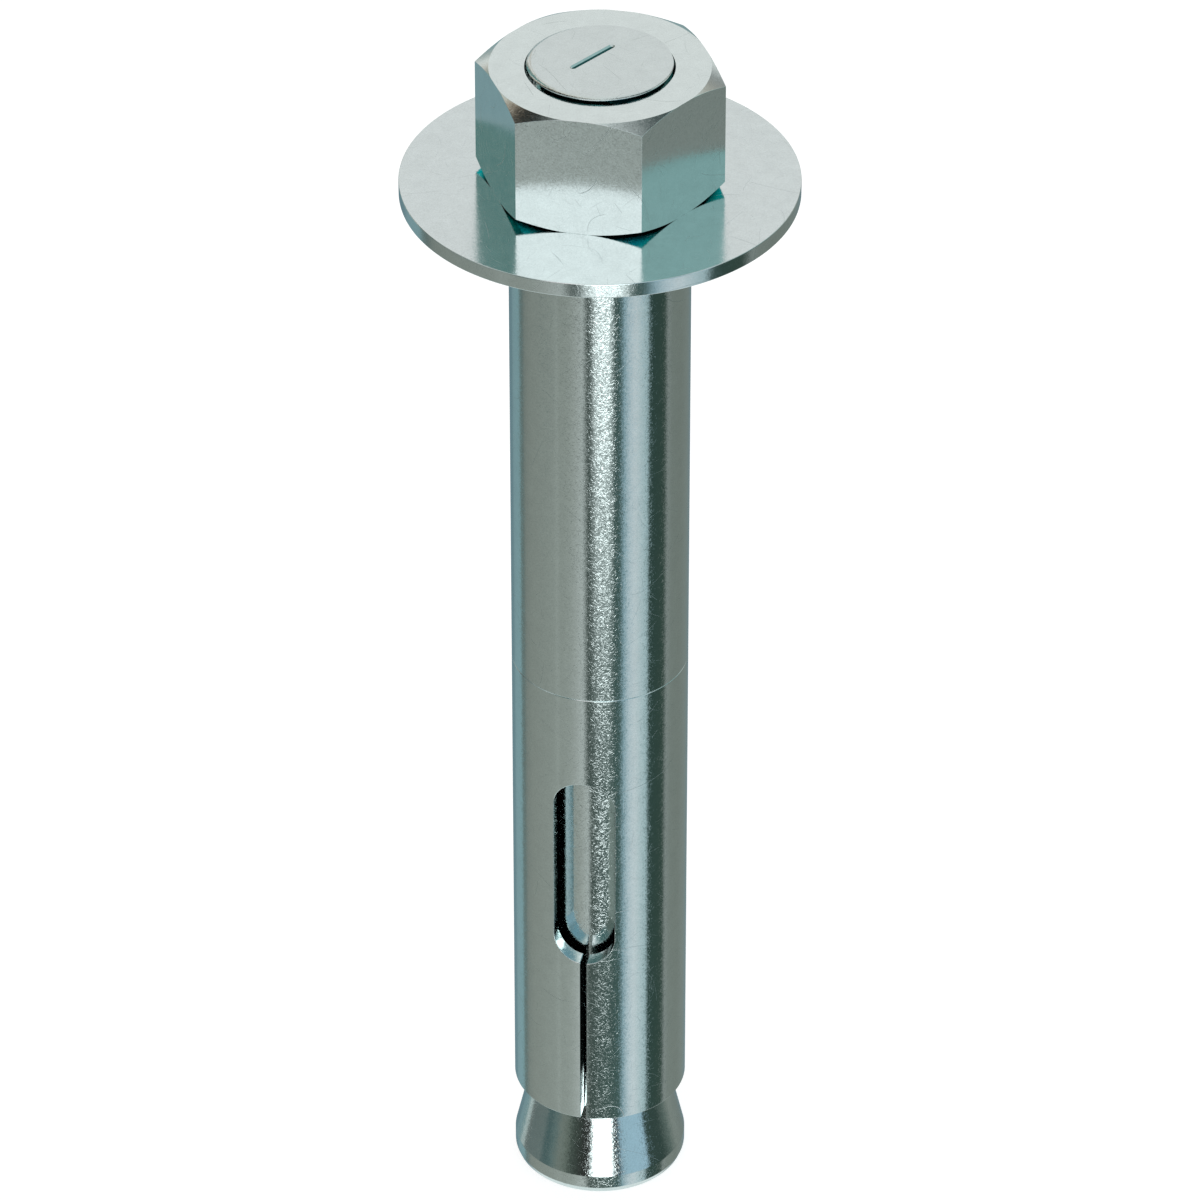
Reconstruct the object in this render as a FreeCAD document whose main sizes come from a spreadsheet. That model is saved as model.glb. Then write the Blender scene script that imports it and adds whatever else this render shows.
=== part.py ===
# Sleeve anchor standing on the flat end of its cone, millimetres, +Z up along the stud.
# The origin is the centre of the cone's flat end. One window and one flat of the nut face -Y.
import FreeCAD, Part
import math
import os

import Sketcher

# Driving dimensions. Each is written once here and lives in the spreadsheet under this alias.
SIZES = [
    ("thread_diameter", 12.6, "outside of the stud's thread, drawn as a plain cylinder"),
    ("thread_length", 57.0, "threaded stretch, measured down from the stud's top"),
    ("runout_height", 0.6, "height of the thread's run-out onto the shank"),
    ("shank_diameter", 11.43, "plain shank between the thread and the cone"),
    ("tip_width", 0.3, "bevel at the stud's top, measured along the radius"),
    ("tip_height", 0.12, "height of that bevel"),
    ("stud_projection", 0.4, "how far the stud stands out of the nut"),
    ("cone_recess", 0.015, "how much smaller the cone's band is than the sleeve, on the radius"),
    ("cone_ridge", 1.9, "height of the edge between the cone's band and its slope"),
    ("neck_radius", 24.0, "hollow between the cone's slope and the shank"),
    ("end_bevel_width", 0.22, "bevel round the flat end, measured along the radius"),
    ("end_bevel_height", 0.55, "height of that bevel"),
    ("seat_height", 8.8, "height of the sleeve's lower end, where the cone carries it"),
    ("seat_clearance", 0.04, "gap between the cone and the sleeve's lower inner edge"),
    ("stud_clearance", 0.0875, "gap between the thread and the sleeves' bore, on the radius"),
    ("sleeve_wall", 1.55, "thickness of the strip that both sleeves are rolled from"),
    ("expander_length", 47.5, "length of the lower, slotted sleeve"),
    ("spacer_length", 48.45, "length of the upper, plain sleeve"),
    ("edge_depth", 0.1, "rolled-over outer edges of both sleeves, measured along the radius"),
    ("edge_height", 0.27, "height of those rolled-over edges"),
    ("seam_width", 0.3, "gap of the rolled seam at the back of both sleeves"),
    ("leaf_count", 3, "windows, and so leaves, round the slotted sleeve"),
    ("window_width", 5.6, "width of a window"),
    ("window_foot", 18.0, "lower end of a window, above the sleeve's lower end"),
    ("window_length", 20.15, "length of a window over its round ends"),
    ("slit_width", 0.52, "slit from a window down to the sleeve's end"),
    ("washer_diameter", 34.7, "outside of the washer"),
    ("washer_thickness", 1.32, "thickness of the washer"),
    ("washer_clearance", 0.45, "gap between the thread and the washer's hole, on the radius"),
    ("washer_bevel", 0.08, "worn edge round the washer"),
    ("nut_width", 18.92, "nut across its flats"),
    ("nut_height", 11.1, "height of the nut"),
    ("nut_clearance", 0.05, "gap between the thread and the nut's plain-drawn bore, on the radius"),
    ("nut_face_margin", 0.06, "how far the nut's round faces reach past its flats"),
    ("nut_chamfer_angle", 30.0, "slope of the nut's corner chamfers, in degrees"),
    ("nut_bore_bevel", 0.15, "bevel at both mouths of the nut's bore"),
]

# Lengths worked out from the sheet, as expressions that the sketches and placements share.
THREAD_RADIUS = "Sizes.thread_diameter / 2"
SHANK_RADIUS = "Sizes.shank_diameter / 2"
BORE_RADIUS = f"({THREAD_RADIUS} + Sizes.stud_clearance)"
SLEEVE_RADIUS = f"({BORE_RADIUS} + Sizes.sleeve_wall)"
CONE_RADIUS = f"({SLEEVE_RADIUS} - Sizes.cone_recess)"
SEAT_RADIUS = f"({BORE_RADIUS} - Sizes.seat_clearance)"
SPACER_FOOT = "(Sizes.seat_height + Sizes.expander_length)"
WASHER_FOOT = f"({SPACER_FOOT} + Sizes.spacer_length)"
NUT_FOOT = f"({WASHER_FOOT} + Sizes.washer_thickness)"
STUD_TOP = f"({NUT_FOOT} + Sizes.nut_height + Sizes.stud_projection)"
NUT_CORNER_RADIUS = "(Sizes.nut_width / 2 / cos(30 deg))"
NUT_FACE_RADIUS = "(Sizes.nut_width / 2 + Sizes.nut_face_margin)"

AXIS = "axis"
BASE = "base"

# How far a cutting outline reaches past the piece it cuts.
OVERREACH = 1.0

doc = FreeCAD.newDocument("SleeveAnchor")


def make_sheet():
    """Spreadsheet with one aliased cell for each driving dimension."""
    sheet = doc.addObject("Spreadsheet::Sheet", "Sizes")
    for row, (alias, value, meaning) in enumerate(SIZES, start=1):
        sheet.set(f"A{row}", meaning)
        sheet.set(f"B{row}", str(value))
        sheet.setAlias(f"B{row}", alias)
    doc.recompute()
    return sheet


def number(expression):
    """Present value of an expression on the sheet."""
    return float(sheet.evalExpression(expression))


def make_body(label, foot=None):
    """Body of one sub-part, lifted to its foot height."""
    body = doc.addObject("PartDesign::Body", label)
    body.Label = label
    if foot:
        body.setExpression("Placement.Base.z", foot)
    return body


def origin_feature(body, role):
    """Plane or axis of the body's own origin."""
    return next(feature for feature in body.Origin.OriginFeatures if feature.Role == role)


def make_sketch(body, name, role="XZ_Plane"):
    """Empty sketch on one of the body's origin planes."""
    sketch = body.newObject("Sketcher::SketchObject", name)
    sketch.AttachmentSupport = [(origin_feature(body, role), "")]
    sketch.MapMode = "FlatFace"
    return sketch


def bind(sketch, name, constraint, expression):
    """Add a dimension to a sketch and drive it from the sheet."""
    index = sketch.addConstraint(constraint)
    sketch.renameConstraint(index, name)
    sketch.setExpression(f"Constraints.{name}", expression)


def place_vertex(sketch, edge, name, across, up):
    """Fix the start of an edge: across and up are expressions, or the axis or base line."""
    if across == AXIS:
        sketch.addConstraint(Sketcher.Constraint("PointOnObject", edge, 1, -2))
    else:
        distance = Sketcher.Constraint("DistanceX", -1, 1, edge, 1, number(across))
        bind(sketch, f"{name}_across", distance, across)
    if up == BASE:
        sketch.addConstraint(Sketcher.Constraint("PointOnObject", edge, 1, -1))
    else:
        distance = Sketcher.Constraint("DistanceY", -1, 1, edge, 1, number(up))
        bind(sketch, f"{name}_up", distance, up)


def draw_profile(sketch, corners):
    """Closed outline through named corners, each placed by its own expressions."""
    points = []
    for _, across, up in corners:
        x = 0.0 if across == AXIS else number(across)
        y = 0.0 if up == BASE else number(up)
        points.append(FreeCAD.Vector(x, y, 0))
    following = points[1:] + points[:1]
    edges = [sketch.addGeometry(Part.LineSegment(a, b)) for a, b in zip(points, following)]
    for edge, next_edge in zip(edges, edges[1:] + edges[:1]):
        sketch.addConstraint(Sketcher.Constraint("Coincident", edge, 2, next_edge, 1))
    for edge, (name, across, up) in zip(edges, corners):
        place_vertex(sketch, edge, name, across, up)


def revolve(body, sketch, kind="PartDesign::Revolution"):
    """Turn a sketch once round the body's Z axis."""
    feature = body.newObject(kind, f"{sketch.Name}_turn")
    feature.Profile = sketch
    feature.ReferenceAxis = (origin_feature(body, "Z_Axis"), [""])
    feature.Angle = 360.0
    return feature


def cut_outward(body, sketch, to_front):
    """Cut a sketch on the XZ plane from the axis outward through one wall only."""
    pocket = body.newObject("PartDesign::Pocket", f"{sketch.Name}_cut")
    pocket.Profile = sketch
    pocket.Reversed = to_front
    pocket.setExpression("Length", f"{SLEEVE_RADIUS} + {OVERREACH}")
    return pocket


def draw_slot(sketch, name, width, foot, length):
    """Upright slot with round ends, centred on the axis."""
    radius = number(width) / 2
    low = number(foot) + radius
    high = number(foot) + number(length) - radius
    up = FreeCAD.Vector(0, 0, 1)
    top = Part.Circle(FreeCAD.Vector(0, high, 0), up, radius)
    bottom = Part.Circle(FreeCAD.Vector(0, low, 0), up, radius)
    top_arc = sketch.addGeometry(Part.ArcOfCircle(top, 0, math.pi))
    left = sketch.addGeometry(
        Part.LineSegment(FreeCAD.Vector(-radius, high, 0), FreeCAD.Vector(-radius, low, 0))
    )
    bottom_arc = sketch.addGeometry(Part.ArcOfCircle(bottom, math.pi, 2 * math.pi))
    right = sketch.addGeometry(
        Part.LineSegment(FreeCAD.Vector(radius, low, 0), FreeCAD.Vector(radius, high, 0))
    )
    for first, first_end, second, second_end in (
        (top_arc, 2, left, 1),
        (left, 2, bottom_arc, 1),
        (bottom_arc, 2, right, 1),
        (right, 2, top_arc, 1),
    ):
        tangent = Sketcher.Constraint("Tangent", first, first_end, second, second_end)
        sketch.addConstraint(tangent)
    sketch.addConstraint(Sketcher.Constraint("PointOnObject", top_arc, 3, -2))
    sketch.addConstraint(Sketcher.Constraint("PointOnObject", bottom_arc, 3, -2))
    bind(sketch, f"{name}_radius", Sketcher.Constraint("Radius", top_arc, radius), f"{width} / 2")
    bind(
        sketch,
        f"{name}_low_centre",
        Sketcher.Constraint("DistanceY", -1, 1, bottom_arc, 3, low),
        f"{foot} + {width} / 2",
    )
    bind(
        sketch,
        f"{name}_high_centre",
        Sketcher.Constraint("DistanceY", -1, 1, top_arc, 3, high),
        f"{foot} + {length} - {width} / 2",
    )


def make_stud():
    """Stud with its cone: cold-headed and rolled in one piece."""
    body = make_body("stud")
    slope = f"(({CONE_RADIUS} - {SEAT_RADIUS}) / (Sizes.seat_height - Sizes.cone_ridge))"
    cone_top = f"Sizes.seat_height + ({SEAT_RADIUS} - {SHANK_RADIUS}) / {slope}"
    thread_foot = f"{STUD_TOP} - Sizes.thread_length"
    profile = make_sketch(body, "stud_profile")
    draw_profile(
        profile,
        [
            ("end_centre", AXIS, BASE),
            ("end_edge", f"{CONE_RADIUS} - Sizes.end_bevel_width", BASE),
            ("band_foot", CONE_RADIUS, "Sizes.end_bevel_height"),
            ("ridge", CONE_RADIUS, "Sizes.cone_ridge"),
            ("cone_top", SHANK_RADIUS, cone_top),
            ("shank_top", SHANK_RADIUS, thread_foot),
            ("thread_foot", THREAD_RADIUS, f"{thread_foot} + Sizes.runout_height"),
            ("tip_foot", THREAD_RADIUS, f"{STUD_TOP} - Sizes.tip_height"),
            ("tip_edge", f"{THREAD_RADIUS} - Sizes.tip_width", STUD_TOP),
            ("tip_centre", AXIS, STUD_TOP),
        ],
    )
    turned = revolve(body, profile)
    doc.recompute()
    neck = body.newObject("PartDesign::Fillet", "neck")
    neck.Base = (turned, [circle_at(turned.Shape, number(SHANK_RADIUS), number(cone_top))])
    neck.setExpression("Radius", "Sizes.neck_radius")
    return body


def circle_at(shape, radius, height):
    """Name of the round edge of this radius at this height."""
    for index, edge in enumerate(shape.Edges, start=1):
        curve = edge.Curve
        if isinstance(curve, Part.Circle):
            if abs(curve.Radius - radius) < 1e-6 and abs(curve.Center.z - height) < 1e-6:
                return f"Edge{index}"
    raise RuntimeError(f"no round edge of radius {radius} at height {height}")


def make_tube(body, length):
    """Rolled tube with rolled-over outer edges and an open seam at the back."""
    profile = make_sketch(body, f"{body.Name}_section")
    draw_profile(
        profile,
        [
            ("inner_foot", BORE_RADIUS, BASE),
            ("outer_foot", f"{SLEEVE_RADIUS} - Sizes.edge_depth", BASE),
            ("foot_edge", SLEEVE_RADIUS, "Sizes.edge_height"),
            ("head_edge", SLEEVE_RADIUS, f"{length} - Sizes.edge_height"),
            ("outer_head", f"{SLEEVE_RADIUS} - Sizes.edge_depth", length),
            ("inner_head", BORE_RADIUS, length),
        ],
    )
    revolve(body, profile)
    seam = make_sketch(body, f"{body.Name}_seam")
    half = "Sizes.seam_width / 2"
    draw_profile(
        seam,
        [
            ("left_foot", f"-{half}", BASE),
            ("right_foot", half, BASE),
            ("right_head", half, length),
            ("left_head", f"-{half}", length),
        ],
    )
    cut_outward(body, seam, to_front=False)


def make_spacer():
    """Plain upper sleeve."""
    body = make_body("spacer_sleeve", SPACER_FOOT)
    make_tube(body, "Sizes.spacer_length")
    return body


def make_expander():
    """Lower sleeve: windows with slits below them part its end into leaves."""
    body = make_body("expansion_sleeve", "Sizes.seat_height")
    make_tube(body, "Sizes.expander_length")
    window = make_sketch(body, "window")
    draw_slot(window, "window", "Sizes.window_width", "Sizes.window_foot", "Sizes.window_length")
    window_cut = cut_outward(body, window, to_front=True)
    slit = make_sketch(body, "slit")
    half = "Sizes.slit_width / 2"
    head = "Sizes.window_foot + Sizes.window_width / 2"
    draw_profile(
        slit,
        [
            ("left_foot", f"-{half}", BASE),
            ("right_foot", half, BASE),
            ("right_head", half, head),
            ("left_head", f"-{half}", head),
        ],
    )
    slit_cut = cut_outward(body, slit, to_front=True)
    leaves = body.newObject("PartDesign::PolarPattern", "leaves")
    leaves.Originals = [window_cut, slit_cut]
    leaves.Axis = (origin_feature(body, "Z_Axis"), [""])
    leaves.Angle = 360.0
    leaves.setExpression("Occurrences", "Sizes.leaf_count")
    body.Tip = leaves
    return body


def make_washer():
    """Flat washer, punched from sheet."""
    body = make_body("washer", WASHER_FOOT)
    radius = "Sizes.washer_diameter / 2"
    hole = f"{THREAD_RADIUS} + Sizes.washer_clearance"
    top = "Sizes.washer_thickness"
    bevel = "Sizes.washer_bevel"
    profile = make_sketch(body, "washer_section")
    draw_profile(
        profile,
        [
            ("inner_foot", hole, BASE),
            ("outer_foot", f"{radius} - {bevel}", BASE),
            ("foot_bevel", radius, bevel),
            ("head_bevel", radius, f"{top} - {bevel}"),
            ("outer_head", f"{radius} - {bevel}", top),
            ("inner_head", hole, top),
        ],
    )
    revolve(body, profile)
    return body


def make_nut():
    """Hexagon nut with both faces chamfered round."""
    body = make_body("nut", NUT_FOOT)
    prism = body.newObject("PartDesign::AdditivePrism", "nut_blank")
    prism.Polygon = 6
    prism.setExpression("Circumradius", NUT_CORNER_RADIUS)
    prism.setExpression("Height", "Sizes.nut_height")
    top = "Sizes.nut_height"
    reach = f"({NUT_CORNER_RADIUS} + {OVERREACH})"
    drop = f"({reach} - {NUT_FACE_RADIUS}) * tan(Sizes.nut_chamfer_angle * 1 deg)"
    for name, face, slope_end in (
        ("top_chamfer", top, f"{top} - {drop}"),
        ("bottom_chamfer", BASE, drop),
    ):
        sketch = make_sketch(body, name)
        draw_profile(
            sketch,
            [
                ("face_edge", NUT_FACE_RADIUS, face),
                ("outside", reach, face),
                ("slope_end", reach, slope_end),
            ],
        )
        revolve(body, sketch, "PartDesign::Groove")
    bore = f"{THREAD_RADIUS} + Sizes.nut_clearance"
    mouth = f"{bore} + Sizes.nut_bore_bevel"
    bore_sketch = make_sketch(body, "nut_bore")
    draw_profile(
        bore_sketch,
        [
            ("foot_centre", AXIS, BASE),
            ("foot_mouth", mouth, BASE),
            ("foot_wall", bore, "Sizes.nut_bore_bevel"),
            ("head_wall", bore, f"{top} - Sizes.nut_bore_bevel"),
            ("head_mouth", mouth, top),
            ("head_centre", AXIS, top),
        ],
    )
    revolve(body, bore_sketch, "PartDesign::Groove")
    return body


def check_document(bodies):
    """Stop before anything is written if an object failed or a solid isn't sound."""
    for item in doc.Objects:
        if {"Invalid", "Error"} & set(item.State):
            raise RuntimeError(f"{item.Label} failed: {item.State}")
    for body in bodies:
        shape = body.Shape
        if shape.isNull() or not shape.isValid() or len(shape.Solids) != 1:
            raise RuntimeError(f"{body.Label} is not one sound solid")


sheet = make_sheet()
bodies = [make_stud(), make_expander(), make_spacer(), make_washer(), make_nut()]
doc.recompute()
check_document(bodies)

os.makedirs("parts", exist_ok=True)
for body in bodies:
    body.Shape.exportStep(f"parts/{body.Label}.step")
    box = body.Shape.BoundBox
    print(f"{body.Label}: volume {body.Shape.Volume:.1f}, z {box.ZMin:.2f} to {box.ZMax:.2f}")
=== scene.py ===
# Looks of a zinc-plated sleeve anchor that stands on the flat end of its cone, metres, +Z up.
# Every piece is a closed mesh with the normals of the true surface, made in the frame's own place.
import math

import bmesh
import bpy
import numpy as np
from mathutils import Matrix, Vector
from mathutils.geometry import delaunay_2d_cdt


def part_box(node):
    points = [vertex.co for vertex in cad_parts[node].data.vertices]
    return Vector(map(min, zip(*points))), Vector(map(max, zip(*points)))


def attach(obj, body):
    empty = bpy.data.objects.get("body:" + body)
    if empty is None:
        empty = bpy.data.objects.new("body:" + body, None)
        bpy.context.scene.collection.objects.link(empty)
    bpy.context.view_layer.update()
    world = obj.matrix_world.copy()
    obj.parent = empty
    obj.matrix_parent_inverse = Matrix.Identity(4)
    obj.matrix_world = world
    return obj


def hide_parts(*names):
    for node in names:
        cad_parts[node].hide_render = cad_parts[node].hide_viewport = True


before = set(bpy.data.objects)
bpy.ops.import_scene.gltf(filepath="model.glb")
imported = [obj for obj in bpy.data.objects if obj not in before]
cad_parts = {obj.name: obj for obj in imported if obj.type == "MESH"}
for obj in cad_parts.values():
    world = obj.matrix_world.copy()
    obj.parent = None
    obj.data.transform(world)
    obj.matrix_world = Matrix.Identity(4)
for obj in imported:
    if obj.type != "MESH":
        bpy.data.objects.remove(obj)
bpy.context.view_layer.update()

MM = 0.001
TURN = 2 * math.pi

# Sizes of the pieces that the frame's boxes don't give, in metres.
EDGE = 0.07 * MM
SEAM_WIDTH = 0.3 * MM
SEAM_AZIMUTH = math.radians(90)
WALL = 1.55 * MM
WINDOW_AZIMUTHS = [math.radians(angle) for angle in (150, 270, 390)]
WINDOW_WIDTH = 5.6 * MM
WINDOW_FOOT = 18.0 * MM
WINDOW_LENGTH = 20.15 * MM
SLIT_WIDTH = 0.52 * MM
TIP_ROUNDING = 0.12 * MM
SHANK_RADIUS = 5.715 * MM
THREAD_RADIUS = 6.3 * MM
THREAD_DEPTH = 1.2 * MM
THREAD_PITCH = 25.4 * MM / 13
THREAD_LENGTH = 57.0 * MM
THREAD_FADE_IN = 2 * MM
THREAD_CLOSING = 0.16 * MM
BAND_HEIGHT = 1.9 * MM
END_BEVEL = (0.22 * MM, 0.55 * MM)
TIP_BEVEL = (0.32 * MM, 0.12 * MM)
TIP_EDGE = 0.02 * MM
# The stud was bevelled a little off its axis, so the bevel is wide on one side and gone on the other.
TIP_SHIFT = (0.19 * MM, 0.22 * MM)
# Share of the bevel that its rounding takes at each end, and how far the normals there lean outward.
TIP_BLEND = 0.08
TIP_LEAN = (0.75, 0.12)
# Depths under the stud's end between which its bare radius grows from the shank's to the thread's.
CORE_SWELL = (3 * MM, 2 * MM)
CONE_SLOPE = 0.2283
NECK_ROUNDING = 2.7 * MM
WASHER_HOLE = 6.75 * MM
NUT_MOUTH = 6.42 * MM
NUT_CHAMFER = math.tan(math.radians(30))
NUT_FACE_MARGIN = 0.06 * MM
NUT_CORNER_ROUNDING = 0.02 * MM
NUT_EDGE = 0.02 * MM
NUT_CLEARANCE = 0.05 * MM
NUT_ROOT_GAP = 0.22 * MM
NUT_SINK = 0.4 * MM
NUT_THREAD_FADE = 0.8 * MM
# How far the normals of the nut's countersunk mouth lean along the axis, at its outer and inner rim.
NUT_MOUTH_LEAN = (0.4, 0.1)
# The edges of the nut's chamfer: the most of the chamfer that they take, as a share, and where
# their middle row lies, inward and downward, in edge sizes.
CHAMFER_EDGE_SHARE = 0.4
CHAMFER_MIDDLE = (0.2, 0.3)

# Fineness of the meshes: columns round each piece, steps along the arcs of the cuts, degrees of
# the points round a corner of the nut, and how near two points are welded.
STUD_COLUMNS = 144
WASHER_COLUMNS = 256
SLEEVE_COLUMNS = 240
TIP_STEPS = 4
WINDOW_FOOT_STEPS = 18
WINDOW_HEAD_STEPS = 20
NUT_CORNER_BENDS = [15, 30, 45]
WELD_REACH = 1e-7

# Shares of the pitch at which a thread's flank starts and ends, and half of the blend at both.
FLANK = (0.1, 0.43)
BLEND = 0.015


class Surface:
    """Points, normals and faces of one closed piece, gathered patch by patch."""

    def __init__(self):
        self.points = []
        self.normals = []
        self.faces = []
        self.count = 0

    def add(self, points, normals, faces):
        """Add loose faces that index their own points."""
        self.points.extend(np.reshape(points, (-1, 3)).tolist())
        self.normals.extend(np.reshape(normals, (-1, 3)).tolist())
        self.faces.extend([[i + self.count for i in face] for face in faces])
        self.count = len(self.points)

    def add_grid(self, points, normals, flip=False):
        """Add a grid of quads: rows by columns by three coordinates."""
        rows, columns = points.shape[:2]
        index = np.arange(rows * columns).reshape(rows, columns)
        corners = [index[:-1, :-1], index[:-1, 1:], index[1:, 1:], index[1:, :-1]]
        quads = np.stack(corners, axis=-1).reshape(-1, 4)
        if flip:
            quads = quads[:, ::-1]
        self.add(points, normals, quads.tolist())

    def make(self, name, body, slot, material, node):
        """Weld the patches into one mesh and hand it to the frame in place of a node."""
        mesh = bpy.data.meshes.new(name)
        mesh.from_pydata(self.points, [], self.faces)
        true_normal = mesh.attributes.new("true_normal", "FLOAT_VECTOR", "POINT")
        true_normal.data.foreach_set("vector", np.array(self.normals, np.float32).ravel())
        welded = bmesh.new()
        welded.from_mesh(mesh)
        bmesh.ops.remove_doubles(welded, verts=welded.verts, dist=WELD_REACH)
        welded.to_mesh(mesh)
        welded.free()
        normals = np.zeros(len(mesh.vertices) * 3, np.float32)
        mesh.attributes["true_normal"].data.foreach_get("vector", normals)
        mesh.attributes.remove(mesh.attributes["true_normal"])
        mesh.polygons.foreach_set("use_smooth", [True] * len(mesh.polygons))
        mesh.normals_split_custom_set_from_vertices(normals.reshape(-1, 3))
        mesh.materials.append(material)
        piece = bpy.data.objects.new(name, mesh)
        bpy.context.scene.collection.objects.link(piece)
        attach(piece, body)
        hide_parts(node)
        return piece


def unit(vectors):
    """Vectors of length one along the last axis."""
    return vectors / np.linalg.norm(vectors, axis=-1, keepdims=True)


def outward(start, end):
    """Normal to the right of a profile's travel from one point to the next."""
    along = unit(end - start)
    return np.stack([along[..., 1], -along[..., 0]], axis=-1)


def round_corner(before, corner, after, size, steps=3):
    """Points and normals of a small curve in place of a profile's corner."""
    start = corner + unit(before - corner) * size
    end = corner + unit(after - corner) * size
    first, last = outward(before, corner), outward(corner, after)
    points, normals = [], []
    for t in np.linspace(0, 1, steps + 1):
        points.append((1 - t) ** 2 * start + 2 * t * (1 - t) * corner + t**2 * end)
        normals.append(unit((1 - t) * first + t * last))
    return points, normals


def profile_rows(corners):
    """Rows of a profile: (point, rounding) corners, where no rounding marks a bare end."""
    points, normals = [], []
    places = [np.array(place) for place, _ in corners]
    for i, (_, rounding) in enumerate(corners):
        if rounding:
            curve, facing = round_corner(places[i - 1], places[i], places[i + 1], rounding)
            points += curve
            normals += facing
        else:
            neighbour = (places[i], places[i + 1]) if i == 0 else (places[i - 1], places[i])
            points.append(places[i])
            normals.append(outward(*neighbour))
    return np.array(points), np.array(normals)


def around(columns):
    """Angles of a full turn, the last one over the first."""
    return np.linspace(0, TURN, columns + 1)


def turn(profile, angles):
    """Turn rows of (radius, height) values round the Z axis."""
    radius, height = profile[:, :1], profile[:, 1:]
    return np.stack(
        [radius * np.cos(angles), radius * np.sin(angles), height + 0 * angles], axis=-1
    )


def make_ring(name, corners, columns, **owner):
    """Piece turned from a closed section given by rounded corners."""
    wrapped = [corners[-1], *corners, corners[0]]
    points, normals = [], []
    for before, (corner, rounding), after in zip(wrapped, corners, wrapped[2:]):
        curve, facing = round_corner(
            np.array(before[0]), np.array(corner), np.array(after[0]), rounding
        )
        points += curve
        normals += facing
    points.append(points[0])
    normals.append(normals[0])
    angles = around(columns)
    ring = Surface()
    ring.add_grid(turn(np.array(points), angles), turn(np.array(normals), angles))
    return ring.make(name, **owner)


def arc(centre, radius, start, end, steps):
    """Points of an arc and the directions from its centre, angles in degrees."""
    angles = np.radians(np.linspace(start, end, steps + 1))
    facing = np.stack([np.cos(angles), np.sin(angles)], axis=-1)
    return np.array(centre) + radius * facing, facing


def end_corner(half_gap, height, up):
    """Rounded corner of a sheet between its end and the side of a cut: points and inward normals."""
    centre = (half_gap + TIP_ROUNDING, height + up * TIP_ROUNDING)
    points, facing = arc(centre, TIP_ROUNDING, -90 * up, -180 * up, TIP_STEPS)
    if up < 0:
        points, facing = points[::-1], facing[::-1]
    return points, -facing


def cut_outline(length, half_gap, window):
    """Side of a cut from the sheet's foot up to its head: points, inward normals, open flags.

    A window's cut is a slit, then a slot with round ends, and it is closed above the slot.
    """
    foot, foot_facing = end_corner(half_gap, 0, 1)
    radius = WINDOW_WIDTH / 2
    low = WINDOW_FOOT + radius
    high = WINDOW_FOOT + WINDOW_LENGTH - radius
    tip_reach = radius + TIP_ROUNDING
    tip_angle = math.degrees(math.acos((SLIT_WIDTH / 2 + TIP_ROUNDING) / tip_reach))
    tip_centre = tip_reach * np.array(
        [math.cos(math.radians(tip_angle)), -math.sin(math.radians(tip_angle))]
    ) + np.array([0, low])
    tip, tip_facing = arc(tip_centre, TIP_ROUNDING, 180, 180 - tip_angle, TIP_STEPS)
    bottom, bottom_facing = arc((0, low), radius, -tip_angle, 0, WINDOW_FOOT_STEPS)
    top, top_facing = arc((0, high), radius, 0, 90, WINDOW_HEAD_STEPS)
    side = np.concatenate([tip, bottom[1:], top])
    side_facing = np.concatenate([-tip_facing, bottom_facing[1:], top_facing])
    if not window:
        side = side * [0, 1] + [half_gap, 0]
        side_facing = side_facing * 0 + [1, 0]
    head, head_facing = end_corner(half_gap, length, -1)
    if window:
        head = head * [0, 1]
        head_facing = head_facing * 0 + [0, -1]
    points = np.concatenate([foot, side, head])
    facing = np.concatenate([foot_facing, side_facing, head_facing])
    is_open = np.ones(len(points), bool)
    if window:
        is_open[len(foot) + len(side):] = False
    return points, facing, is_open


def plain_outline(length, half_gap):
    """Side of a seam that runs the whole length of a sheet with no windows."""
    foot, foot_facing = end_corner(half_gap, 0, 1)
    head, head_facing = end_corner(half_gap, length, -1)
    points = np.concatenate([foot, head])
    return points, np.concatenate([foot_facing, head_facing]), np.ones(len(points), bool)


def sheet_layers(outer, inner, steps=3):
    """Skins of a sheet from outside to inside: radius, inset, outward share and edge share."""
    layers = []
    for surface, side, start, end in ((outer, 1, 0, 90), (inner, -1, 90, 0)):
        for t in np.radians(np.linspace(start, end, steps + 1)):
            out, rim = math.cos(t), math.sin(t)
            layers.append((surface - side * EDGE * (1 - out), EDGE * (1 - rim), side * out, rim))
    return layers


def skin(layer, left, right, shares, foot):
    """Grid of one skin between two cuts, and the normals it would have on the sheet's edge."""
    radius, inset, out_share, edge_share = layer
    edges = []
    for azimuth, (points, facing, _), side in (left + (1,), right + (-1,)):
        place = points + inset * facing
        angle = azimuth + side * np.arcsin(place[:, 0] / radius)
        across = np.array([-math.sin(azimuth), math.cos(azimuth), 0]) * side
        rim = -facing[:, :1] * across - facing[:, 1:] * np.array([0, 0, 1.0])
        edges.append((angle[:, None], place[:, 1:] + foot, rim[:, None, :]))
    angle, height, rim = (
        a + (b - a) * (shares if a.ndim == 2 else shares[:, None]) for a, b in zip(*edges)
    )
    radial = np.stack([np.cos(angle), np.sin(angle), 0 * angle], axis=-1)
    points = radial * radius
    points[..., 2] = height
    return points, unit(out_share * radial + edge_share * rim + 1e-12)


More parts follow.
